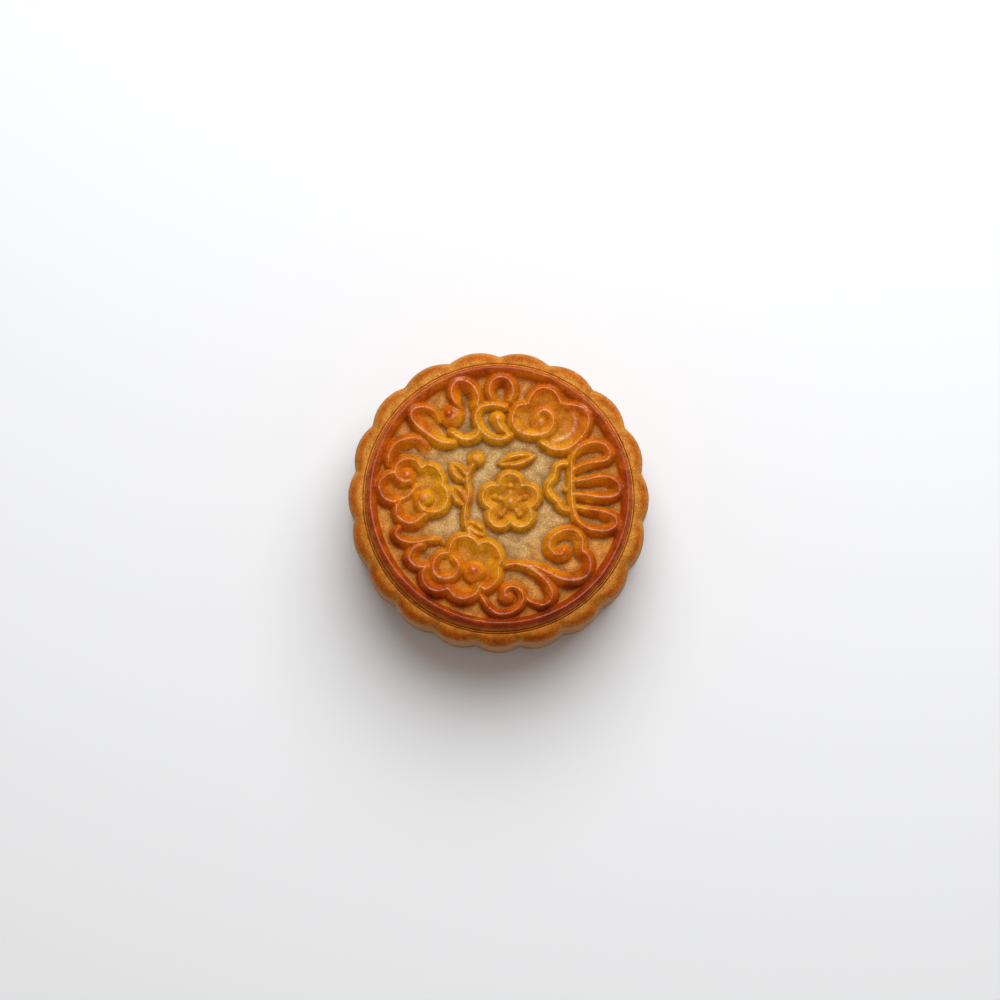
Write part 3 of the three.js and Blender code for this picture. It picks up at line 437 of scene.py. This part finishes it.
def border_height(radius, angle):
    """The border ridge above the field, and the bead between two grooves outside it."""
    foot = BORDER_FOOT + FOOT_OUT * np.cos(angle - FOOT_SIDE)
    crest = border_crest(angle)
    up = np.clip((crest - radius) / (crest - foot), 0, 1)
    inner = CREST * (1 - up ** 1.7) ** CREST_ROUNDNESS
    down = np.clip((radius - crest) / (GROOVE_INNER - crest), 0, 1)
    outer = (CREST + GROOVE_DEPTH) * (1 - down ** 2) ** CREST_ROUNDNESS - GROOVE_DEPTH
    ledge = np.interp(radius, *zip(*LEDGE))
    return np.where(radius < crest, inner, np.where(radius < GROOVE_INNER, outer, ledge))


def top_height(radius, angle):
    """Height of the border, the bead and the grooves."""
    return FIELD + border_height(radius, angle)


bm = bmesh.new()
bmesh.ops.create_grid(bm, x_segments=CELLS, y_segments=CELLS, size=1)
# the square grid becomes a disc, each square round its middle a circle
for v in bm.verts:
    a, b = v.co.x, v.co.y
    if abs(a) > abs(b):
        r, turn = a, pi / 4 * b / a
    elif b == 0:
        r, turn = 0, 0
    else:
        r, turn = b, pi / 2 - pi / 4 * a / b
    v.co = (FIELD_RADIUS * r * cos(turn), FIELD_RADIUS * r * sin(turn), FIELD)


def extrude_row(edges, radius_at, height_at):
    """Extrudes the open edge once and sets the new corners by their direction."""
    made = bmesh.ops.extrude_edge_only(bm, edges=edges)["geom"]
    for v in (g for g in made if isinstance(g, bmesh.types.BMVert)):
        angle = np.arctan2(v.co.y, v.co.x)
        radius = radius_at(angle)
        v.co = (radius * cos(angle), radius * sin(angle), height_at(radius, angle))
    return [g for g in made if isinstance(g, bmesh.types.BMEdge)]


def closing_up(rows):
    """Shares of the way for each of the rows, which stand closer together towards the end."""
    return [sin(i / rows * pi / 2) for i in range(1, rows + 1)]


BORDER_ROWS = 8    # on either side of the border's crest
RIM_ROWS = 12
SIDE_ROWS = 9
SIDE_TOP = FIELD + LEDGE_HEIGHT - RIM_FALL - RIM_ROUND     # about where the rim ends
BASE_ROUND = ((0.1, 0.5), (0.35, 0.15), (0.9, 0))      # how far in from the edge, and how high

open_edge = [e for e in bm.edges if e.is_boundary]
for share in closing_up(BORDER_ROWS):
    open_edge = extrude_row(
        open_edge, lambda angle: (1 - share) * FIELD_RADIUS + share * border_crest(angle), top_height)
for share in closing_up(BORDER_ROWS):
    open_edge = extrude_row(
        open_edge, lambda angle: (1 - share) * border_crest(angle) + share * GROOVE_INNER, top_height)
for radius, _ in LEDGE[1:]:
    open_edge = extrude_row(open_edge, lambda angle: radius, top_height)
for share in closing_up(RIM_ROWS):
    open_edge = extrude_row(
        open_edge, lambda angle: RIM_INNER + share * (scalloped_radius(angle) - RIM_INNER), rim_height)
# at the notches the rim ends a little above SIDE_TOP, and the first row down the side evens that out
for i in range(1, SIDE_ROWS + 1):
    down = i / SIDE_ROWS
    out = BULGE * sin(pi * down)
    height = SIDE_BOTTOM + (SIDE_TOP - SIDE_BOTTOM) * (1 - down)
    open_edge = extrude_row(
        open_edge, lambda angle: scalloped_radius(angle) + out, lambda radius, angle: height)
for inwards, height in BASE_ROUND:
    open_edge = extrude_row(
        open_edge, lambda angle: scalloped_radius(angle) - inwards, lambda radius, angle: height)
bmesh.ops.contextual_create(bm, geom=open_edge)
bmesh.ops.recalc_face_normals(bm, faces=bm.faces)

mesh = bpy.data.meshes.new("mooncake_baked")
bm.to_mesh(mesh)
bm.free()

places = np.empty(len(mesh.vertices) * 3)
mesh.vertices.foreach_get("co", places)
places = places.reshape(-1, 3)
x, y, z = places.T     # these stay tied to places, so a change to them moves the corners
radius = np.hypot(x, y)
angle = np.arctan2(y, x)
upper = z > FIELD - 1
on_top = upper & (radius < border_crest(angle))
on_border = upper & (radius < GROOVE_INNER)
height, ground, proud, clear = np.zeros((4, len(x)))
height[on_top], ground[on_top], proud[on_top], clear[on_top] = ornament(x[on_top], y[on_top])
clear[~on_top] = HALO
border = border_height(radius, angle)
BORDER_PROUD = 1.1     # past 1, so that more of the border's width counts as crest
border_proud = BORDER_PROUD * np.clip(border / CREST, 0, 1) ** 1.5
proud[on_border] = np.maximum(proud[on_border], border_proud[on_border])
z[on_top] = FIELD + blend_heights(height[on_top], border[on_top])
y += OUTLINE_SHIFT
mesh.vertices.foreach_set("co", (places * MM).ravel())
mesh.shade_smooth()

# ---- The mooncake: what its finish follows -----------------------------------------------------
# The oven and the brush left their marks by place: the egg wash took on what stands proud and browned
# more towards the outside, gathered here and there, and left the hollows between as plain dough. Shade is
# painted in too: in creases, deep slots, along the ridges' and the border's feet, and on the side away
# from the lights.


def keep(name, values):
    """Keeps one value for each corner of the mesh, for the material to read."""
    mesh.attributes.new(name, "FLOAT", "POINT").data.foreach_set("value", values)


def patches(spots):
    """Soft round patches, each given by its middle, its reach and its strength."""
    made = np.zeros(len(x))
    for px, py, reach, strength in spots:
        made = np.maximum(made, strength * np.exp(-((x - px) ** 2 + (y - py) ** 2) / reach ** 2))
    return made


# rise: how far a place stands out of the field, 1 at a crest. In the grooves their depth counts
# instead, and beyond the border's crest it is held down, because the wash ran thin there.
in_grooves = (radius > GROOVE_INNER - 0.01) & (radius < RIM_INNER)
grooved = CREST * np.clip((LEDGE_HEIGHT - border) / (GROOVE_DEPTH + LEDGE_HEIGHT), 0, 1)
outer_slope = (radius > border_crest(angle)) & (radius < GROOVE_INNER)
to_groove = (GROOVE_INNER - radius) / (GROOVE_INNER - border_crest(angle))
rise = np.where(upper & (radius < RIM_INNER), z - FIELD, 0)
rise = np.where(in_grooves, grooved, rise)
rise = np.where(outer_slope, np.minimum(rise, CREST * (0.75 * to_groove + 0.05)), rise)
keep("rise", np.clip(rise / CREST, -0.2, 1.3))

# proud: 1 along a crest, 0 at its foot
keep("proud", proud)

# crease: how far a place lies below the mean height of what is round it; the material darkens such places
# as painted shade
CREASE_ROUNDS = 10     # of averaging over neighbours
CREASE_DEPTH = 0.2
pairs = np.empty(len(mesh.edges) * 2, int)
mesh.edges.foreach_get("vertices", pairs)
one_end, other_end = pairs.reshape(-1, 2).T
neighbours = np.bincount(one_end, minlength=len(z)) + np.bincount(other_end, minlength=len(z))
around = z
for _ in range(CREASE_ROUNDS):
    total = np.bincount(one_end, around[other_end], len(z))
    total += np.bincount(other_end, around[one_end], len(z))
    around = total / neighbours
keep("crease", np.clip((around - z) / CREASE_DEPTH, 0, 1))

# ground: the bare floor of a flower or the cloud. halo: closeness to a ridge's foot, which the material
# darkens as painted shade.
BARE_WITHIN = 0.6      # above the floor
bare = 1 - np.clip((height - ground) / BARE_WITHIN, 0, 1)
keep("ground", np.where(ground > 0, bare, 0) * np.clip(ground, 0, 1))
keep("halo", np.clip(1 - clear / HALO, 0, 1))

# from_middle: in millimetres, from the least browned place, a little off the middle towards +Y
PALEST_Y = 3.5
keep("from_middle", np.hypot(x, y - PALEST_Y))

# browned: the brown band along a scallop's pad, which fades towards the notches
BAND_INWARDS = 1.5
BAND_WIDTH = 1.1
_, turn = lobe(angle)
to_notch = np.clip(turn / (pi / SCALLOPS), 0, 1)
band = np.exp(-((inwards_of_edge(radius, angle) - BAND_INWARDS) / BAND_WIDTH) ** 2)
on_rim = (radius > RIM_INNER) & (z > FIELD - 3)
keep("browned", np.where(on_rim, band * (1 - 0.8 * to_notch ** 3), 0))

# past_border: 1 from the rim outwards. side: 1 below the rim.
RIM_FADE = 0.4
SIDE_BELOW = 1.2       # the field
SIDE_FADE = 1.6
keep("past_border", np.clip((radius - GROOVE_OUTER) / RIM_FADE, 0, 1))
keep("side", np.clip((FIELD - SIDE_BELOW - z) / SIDE_FADE, 0, 1))

# painted shade: the outer parts on the side of the cake away from the lights are darkened
DARK_SIDE = radians(255)
DARK_FROM = 26         # radius at which it begins
DARK_FADE = 10
towards = np.clip(np.cos(angle - DARK_SIDE) * 1.4 - 0.2, 0, 1)
keep("shade_side_painted", towards * np.clip((radius - DARK_FROM) / DARK_FADE, 0, 1))

# pool: where more of the wash gathered and baked redder
keep("pool", patches((
    (-13, 22.8, 1.6, 0.9),
    (-12.3, 22.2, 3.2, 0.4),
    (-22.3, 22, 3.5, 0.45),
    (-10, 30.5, 4, 0.25),
    (0.5, 31.5, 4, 0.3),
    (11, 21.5, 6, 0.28),
    (21, 21.5, 5, 0.25),
    (-9, -11.4, 4, 0.22),
    (-1.6, -13.6, 3.4, 0.18),
    (7, 1.2, 2.5, 0.3),
    (0.8, -4.6, 2.2, 0.25),
    (-8.2, 0, 2.2, 0.3),
    (-6.5, -19.2, 1.7, 0.9),
    (4.3, 22, 0.9, 0.7),
    (3.9, 20.4, 0.8, 0.7),
    (6.1, 18, 0.8, 0.7),
    (17.6, -14.2, 1.5, 0.5),
    (-24.2, 6.3, 1.6, 0.7),
    (19.5, -8.6, 2.5, 0.35),
    (-16.5, -16, 2, 0.3),
    (10, 28.5, 3, 0.35),
    (5.5, 24.4, 2, 0.4),
    (2.8, -25.2, 2, 0.3),
)))

# painted shade: small darker places, most of them in the crevices along the border's inner foot
keep("border_foot_shade_painted", patches((
    (-18.4, -26.6, 1.7, 0.9),
    (0.4, 30.8, 1.4, 0.4),
    (23.6, -21, 2.2, 0.6),
    (19.6, -23.4, 2.6, 0.7),
    (-9.6, -28.4, 2.2, 0.5),
    (1.5, -32.4, 2.6, 0.5),
    (-25, -16.6, 1.7, 0.6),
    (-27.4, -11.6, 1.8, 0.5),
    (-30.8, 0.4, 1.8, 0.4),
    (31.5, 3, 1.6, 0.5),
    (31.5, -9.2, 1.8, 0.4),
    (12.6, -29.8, 2.4, 0.7),
    (-16.4, 26.6, 1.2, 0.5),
    (-23.4, 21.5, 1.4, 0.4),
)))

# painted shade: low places deep in the slots and hollows between ridges, darkened to a greyer brown
SLOT_SHADE_UP_TO = 0.9       # above the field
slot_shade_painted = patches((
    (-9, 27.6, 1.3, 0.8),
    (-8.8, 25.8, 1.1, 0.8),
    (-8, 19.4, 1.6, 1),
    (0.8, 27.6, 1, 0.5),
    (24, 11.4, 1.6, 0.6),
    (27, 3.2, 1.3, 0.4),
    (24.5, 2.8, 1.3, 0.6),
    (28, -6.2, 1.4, 0.6),
    (25, -5.2, 1.4, 0.6),
    (24, 7.4, 1.5, 0.9),
    (27.5, -1.8, 1.2, 0.6),
    (-24.5, 13, 1.4, 0.3),
    (11.8, 6, 1.6, 0.6),
    (-22, -14.5, 1.3, 0.8),
    (-19.5, -15, 1.2, 0.6),
    (15.5, -17, 1.4, 0.8),
    (-5, 14.4, 1.8, 0.6),
    (-8.5, -13.4, 1.8, 0.35),
    (3, -13.5, 2.5, 0.5),
    (-19.5, 4.5, 1.4, 0.3),
))
keep("slot_shade_painted", slot_shade_painted * np.clip(1 - height / SLOT_SHADE_UP_TO, 0, 1))

mooncake = bpy.data.objects.new("mooncake_baked", mesh)
bpy.context.scene.collection.objects.link(mooncake)

# ---- The mooncake: its finish ------------------------------------------------------------------
# Egg wash, brushed on thin and baked glossy brown on what stands proud; matt and grainy dough in the
# hollows; a paler, drier side that the wash didn't reach; and painted shade in the deep places and on the
# side away from the lights.

crust = bpy.data.materials.new("egg_washed_crust")
crust.use_nodes = True
shader = crust.node_tree.nodes["Principled BSDF"]


def node(kind, settings=None, **sockets):
    """A node of the crust's material, its sockets set to values or linked to other nodes' outputs.
    A socket goes by its name, or by its number after an underscore."""
    made = crust.node_tree.nodes.new("ShaderNode" + kind)
    for name, value in (settings or {}).items():
        setattr(made, name, value)
    for name, value in sockets.items():
        socket = made.inputs[int(name[1:])] if name[0] == "_" else made.inputs[name]
        connect(value, socket)
    return made


def connect(value, socket):
    """Links another node's output to the socket, or sets the socket to a plain value."""
    if isinstance(value, bpy.types.NodeSocket):
        crust.node_tree.links.new(value, socket)
    else:
        socket.default_value = value


def attribute(name):
    """What keep() kept under the name."""
    return node("Attribute", {"attribute_name": name}).outputs["Fac"]


def compute(operation, a, b):
    """The result of a Math node."""
    return node("Math", {"operation": operation}, _0=a, _1=b).outputs[0]


def ranged(value, low, high, to_low=0.0, to_high=1.0, kind="LINEAR"):
    """The value carried over from low..high to to_low..to_high, and held at the ends."""
    sockets = {"From Min": low, "From Max": high, "To Min": to_low, "To Max": to_high}
    return node("MapRange", {"interpolation_type": kind}, _0=value, **sockets).outputs[0]


def soft_step(value, low, high):
    """0 below low, 1 above high, smooth between."""
    return ranged(value, low, high, kind="SMOOTHSTEP")


def colour(red, green, blue):
    """A colour as seen, 0 to 255, as the linear light the shader works in."""
    return tuple(c / 12.92 if c < 0.04045 else ((c + 0.055) / 1.055) ** 2.4
                 for c in (red / 255, green / 255, blue / 255)) + (1,)


def ramp(value, *stops):
    """A colour that follows the value through the stops."""
    made = node("ValToRGB", _0=value)
    elements = made.color_ramp.elements
    while len(elements) < len(stops):
        elements.new(0.5)
    for element, (place, shade) in zip(elements, stops):
        element.position = place
        element.color = shade
    return made.outputs["Color"]


def mix(share, a, b, kind="MIX"):
    """Two colours mixed, or the first multiplied by the second, by the share."""
    mixed = node("Mix", {"data_type": "RGBA", "blend_type": kind}, _0=share, _6=a, _7=b)
    return mixed.outputs[2]


in_place = node("TexCoord").outputs["Object"]


def noise(size_mm, detail=2.0, roughness=0.5):
    """Even noise of one grain size through the whole cake."""
    made = node("TexNoise", Vector=in_place, Scale=1 / (size_mm * MM), Detail=detail, Roughness=roughness)
    return made.outputs["Fac"]


grain = noise(0.34, 2.0, 0.6)
mottle = noise(4.5, 4, 0.6)
blotches = noise(2.6, 3.0, 0.6)
brush_marks = noise(0.8, 3.0, 0.65)

# how far it is baked: more towards the outside, and unevenly
MOTTLE_REACH = 22      # millimetres by which the mottle shifts the browning
BAKED_REACH = 40       # from the palest place to the darkest
shift = compute("MULTIPLY", compute("SUBTRACT", mottle, 0.5), MOTTLE_REACH)
baked = ranged(compute("ADD", shift, attribute("from_middle")), 0, BAKED_REACH)
washed = ramp(baked,
              (0.22, colour(206, 137, 22)), (0.40, colour(212, 144, 18)), (0.55, colour(206, 124, 9)),
              (0.66, colour(198, 105, 5)), (0.80, colour(180, 82, 4)), (0.92, colour(155, 57, 3)))
dough = ramp(baked,
             (0.30, colour(199, 163, 107)), (0.48, colour(201, 158, 98)), (0.62, colour(200, 139, 70)),
             (0.78, colour(212, 146, 70)))
# foot: the painted shade of the dough near the ridges' feet
foot = ramp(baked, (0.35, colour(148, 112, 66)), (0.75, colour(162, 106, 52)))
flower_floor = ramp(baked, (0.45, colour(194, 134, 54)), (0.80, colour(190, 116, 34)))
rim = mix(attribute("browned"), colour(201, 138, 56), colour(178, 91, 23))
dry_side = colour(176, 126, 84)
pooled_wash = colour(182, 70, 7)
# what these places keep of the red, green and blue round them; the side, border-foot, crease and slot ones
# are painted shade
CREST_BROWN = (0.93, 0.84, 0.68, 1)
SIDE_SHADE_TINT = (0.8, 0.66, 0.45, 1)
BORDER_FOOT_SHADE_TINT = (0.4, 0.26, 0.3, 1)
BLOTCH = (0.76, 0.68, 0.58, 1)
CREASE_SHADE_TINT = (0.85, 0.77, 0.7, 1)
SLOT_SHADE_TINT = (0.44, 0.46, 0.5, 1)

grainy_rise = compute("ADD", attribute("rise"), compute("MULTIPLY", compute("SUBTRACT", grain, 0.5), 0.3))
wash = soft_step(grainy_rise, 0.05, 0.4)
# painted shade: the dough turns darker and greyer towards the ridges' feet
dough = mix(compute("MULTIPLY", soft_step(attribute("halo"), 0.45, 1.0), 0.45), dough, foot)
skin = mix(wash, dough, washed)
skin = mix(compute("MULTIPLY", attribute("ground"), 0.75), skin, flower_floor)
skin = mix(attribute("past_border"), skin, rim)
skin = mix(soft_step(attribute("proud"), 0.74, 1.0), skin, CREST_BROWN, "MULTIPLY")
# painted shade: darker on the outer parts of the side away from the lights
skin = mix(attribute("shade_side_painted"), skin, SIDE_SHADE_TINT, "MULTIPLY")
skin = mix(attribute("side"), skin, dry_side)
skin = mix(attribute("pool"), skin, pooled_wash)
# painted shade: darker in the crevices along the border's inner foot
skin = mix(attribute("border_foot_shade_painted"), skin, BORDER_FOOT_SHADE_TINT, "MULTIPLY")
less_on_side = compute("SUBTRACT", 1.0, compute("MULTIPLY", attribute("side"), 0.5))
blotched = compute("MULTIPLY", soft_step(blotches, 0.42, 0.66), less_on_side)
skin = mix(blotched, skin, BLOTCH, "MULTIPLY")
# painted shade: darker in the creases at the feet of ridges and beads
skin = mix(attribute("crease"), skin, CREASE_SHADE_TINT, "MULTIPLY")
# painted shade: greyer and darker deep in the slots
skin = mix(attribute("slot_shade_painted"), skin, SLOT_SHADE_TINT, "MULTIPLY")

# fine dark and light specks, a little less strong under the wash
darkest = compute("ADD", compute("MULTIPLY", wash, 0.12), 0.62)
lightest = compute("SUBTRACT", 1.5, compute("MULTIPLY", wash, 0.06))
speck = ranged(grain, 0.3, 0.7, darkest, lightest)
specks = node("CombineColor", _0=speck, _1=speck, _2=speck).outputs[0]
connect(mix(1.0, skin, specks, "MULTIPLY"), shader.inputs["Base Color"])

# the gloss along the crests, broken up by the brush marks
broken = compute("MULTIPLY", compute("SUBTRACT", brush_marks, 0.5), 2.2)
gloss = soft_step(compute("ADD", attribute("proud"), broken), 0.6, 0.95)
connect(ranged(gloss, 0, 1, 0.6, 0.28), shader.inputs["Roughness"])
connect(ranged(gloss, 0, 1, 0.04, 0.5), shader.inputs["Specular IOR Level"])
connect((1, 0.92, 0.76, 1), shader.inputs["Specular Tint"])

PIT_DEPTH = 0.06 * MM
pitted = node("Bump", Strength=0.8, Distance=PIT_DEPTH, Height=grain).outputs[0]
connect(pitted, shader.inputs["Normal"])
mesh.materials.append(crust)

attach(mooncake, "root")
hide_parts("mooncake")

# ---- The table ---------------------------------------------------------------------------------
# A plain pale table top, smooth and matt, that the cake stands on. It is one flat sheet, wide enough
# to fill the view.

TABLE_REACH = 3        # metres from its middle to an edge
bm = bmesh.new()
bmesh.ops.create_grid(bm, x_segments=1, y_segments=1, size=TABLE_REACH)
floor_mesh = bpy.data.meshes.new("table_top")
bm.to_mesh(floor_mesh)
bm.free()
floor = bpy.data.objects.new("table_top", floor_mesh)
bpy.context.scene.collection.objects.link(floor)
table_finish = bpy.data.materials.new("pale_table")
table_finish.use_nodes = True
table_shader = table_finish.node_tree.nodes["Principled BSDF"]
table_shader.inputs["Base Color"].default_value = (0.86, 0.86, 0.86, 1)
table_shader.inputs["Roughness"].default_value = 0.6
floor_mesh.materials.append(table_finish)

# ---- Light -------------------------------------------------------------------------------------
# A pale room that is dimmer overhead, a large window that only lights, and a lamp above it that only
# shows in the gloss. Both stand on the cake's far side.

scene = bpy.context.scene
scene.view_settings.view_transform = "Standard"
world = bpy.data.worlds.new("soft_white_room")
world.use_nodes = True
sky = world.node_tree
lift = sky.nodes.new("ShaderNodeSeparateXYZ")
sky.links.new(sky.nodes.new("ShaderNodeTexCoord").outputs["Generated"], lift.inputs[0])
dim = sky.nodes.new("ShaderNodeMapRange")
sky.links.new(lift.outputs["Z"], dim.inputs[0])
dim.inputs["From Min"].default_value = 0.55
dim.inputs["From Max"].default_value = 1.0
dim.inputs["To Min"].default_value = 0.37
dim.inputs["To Max"].default_value = 0.2
sky.nodes["Background"].inputs["Color"].default_value = (1, 0.94, 0.87, 1)
sky.links.new(dim.outputs[0], sky.nodes["Background"].inputs["Strength"])
scene.world = world
world.cycles_visibility.glossy = False

LIGHT_FAR = 0.9                # metres, from a place LIGHT_LIFT above the middle of the base
LIGHT_TURN = radians(78)       # from +X towards +Y
LIGHT_LIFT = 0.03
for name, size, power, tilt, glossy in (("window", 1.0, 10.3, 38, False), ("lamp", 0.65, 7, 22, True)):
    light_data = bpy.data.lights.new(name, "AREA")
    light_data.shape = "DISK"
    light_data.size = size
    light_data.energy = power
    light_data.color = (0.97, 1, 1.05)
    light = bpy.data.objects.new(name, light_data)
    beside = LIGHT_FAR * sin(radians(tilt))
    light.location = (beside * cos(LIGHT_TURN), beside * sin(LIGHT_TURN),
                      LIGHT_FAR * cos(radians(tilt)) + LIGHT_LIFT)
    light.rotation_mode = "QUATERNION"
    light.rotation_quaternion = light.location.to_track_quat("Z", "Y")
    light.visible_glossy = glossy
    light.visible_diffuse = not glossy
    scene.collection.objects.link(light)

# ---- Camera ------------------------------------------------------------------------------------
# Almost straight above, leaning a little towards the cake's near side.

FRAME_PIXELS = 1000
RING_PIXEL = (498.5, 497.5)     # where the border's middle stands in the frame
SCALE = 3.76                    # pixels for a millimetre at the crest's height
LENS, SENSOR = 135, 36
LEAN = radians(5.3)
distance = LENS / SENSOR * FRAME_PIXELS / SCALE * MM
camera_data = bpy.data.cameras.new("camera")
camera_data.lens = LENS
camera_data.sensor_width = SENSOR
camera = bpy.data.objects.new("camera", camera_data)
camera.rotation_euler = (LEAN, 0, 0)
aim_x = (FRAME_PIXELS / 2 - RING_PIXEL[0]) / SCALE * MM
aim_y = (RING_PIXEL[1] - FRAME_PIXELS / 2) / SCALE * MM
top = (FIELD + CREST) * MM
camera.location = (aim_x, OUTLINE_SHIFT * MM + aim_y - distance * sin(LEAN), top + distance * cos(LEAN))
scene.collection.objects.link(camera)
scene.camera = camera
